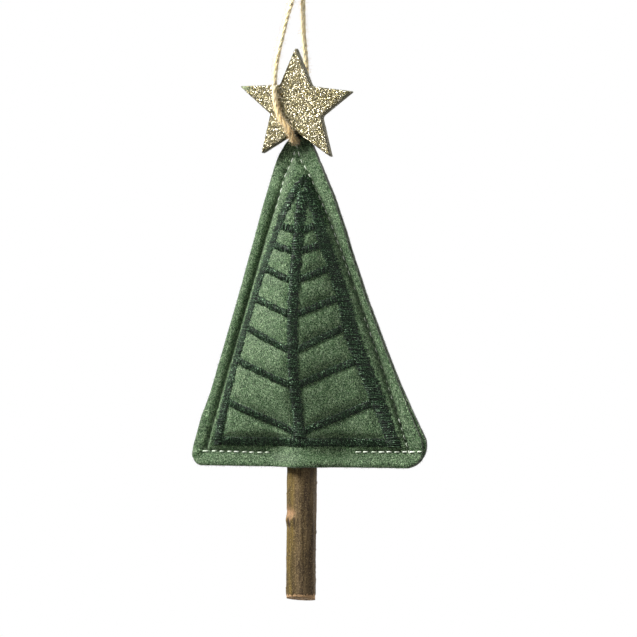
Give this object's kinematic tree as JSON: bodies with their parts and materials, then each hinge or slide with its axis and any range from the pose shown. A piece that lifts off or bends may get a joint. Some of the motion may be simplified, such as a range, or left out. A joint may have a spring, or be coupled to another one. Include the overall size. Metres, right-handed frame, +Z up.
{
  "type": "christmas tree ornament",
  "caption": "Stuffed felt tree with a stitched branch pattern, on a twig trunk, with a glitter star at its tip and a twine loop to hang it by.",
  "frame": {"origin": "the hanging point inside the top of the twine loop, just under its knot", "axes": "+Z up along the hanging twine, the stitched front faces -Y, X runs across the tree"},
  "size_m": [0.0818, 0.0228, 0.2224],
  "materials": {
    "felt_green": "pressed wool felt, matt, with a fine fuzz",
    "fibre_filling": "loose white fibre",
    "thread_dark": "dark green satin stitches with a soft sheen",
    "thread_pale": "pale green sewing thread, matt",
    "bark": "twig with its bark on, matt, sawn end",
    "glue": "clear yellowish glue, smooth",
    "felt_grey_green": "thick pressed felt, matt",
    "glitter": "pale gold glitter flakes, sparkling",
    "jute": "natural twisted jute, matt and hairy"
  },
  "bodies": {
    "hanger": {"twine_loop": "jute", "twine_knot": "jute"},
    "tree": {"front_panel": "felt_green", "back_panel": "felt_green", "filling": "fibre_filling", "embroidery_edge_left": "thread_dark", "embroidery_edge_right": "thread_dark", "embroidery_edge_bottom": "thread_dark", "embroidery_stem": "thread_dark", "embroidery_branch_left_1": "thread_dark", "embroidery_branch_left_2": "thread_dark", "embroidery_branch_left_3": "thread_dark", "embroidery_branch_left_4": "thread_dark", "embroidery_branch_left_5": "thread_dark", "embroidery_branch_left_6": "thread_dark", "embroidery_branch_left_7": "thread_dark", "embroidery_branch_right_1": "thread_dark", "embroidery_branch_right_2": "thread_dark", "embroidery_branch_right_3": "thread_dark", "embroidery_branch_right_4": "thread_dark", "embroidery_branch_right_5": "thread_dark", "embroidery_branch_right_6": "thread_dark", "embroidery_branch_right_7": "thread_dark", "seam_thread_front": "thread_pale", "seam_thread_back": "thread_pale", "trunk": "bark", "trunk_glue": "glue", "star_glue": "glue", "star_core": "felt_grey_green", "star_face": "glitter"}
  },
  "joints": [
    {"name": "tree_swing", "type": "hinge", "parent": "hanger", "child": "tree", "pos_m": [0, 0, -0.0573], "axis": [0, 1, 0], "range_deg": [-35, 35]}
  ]
}
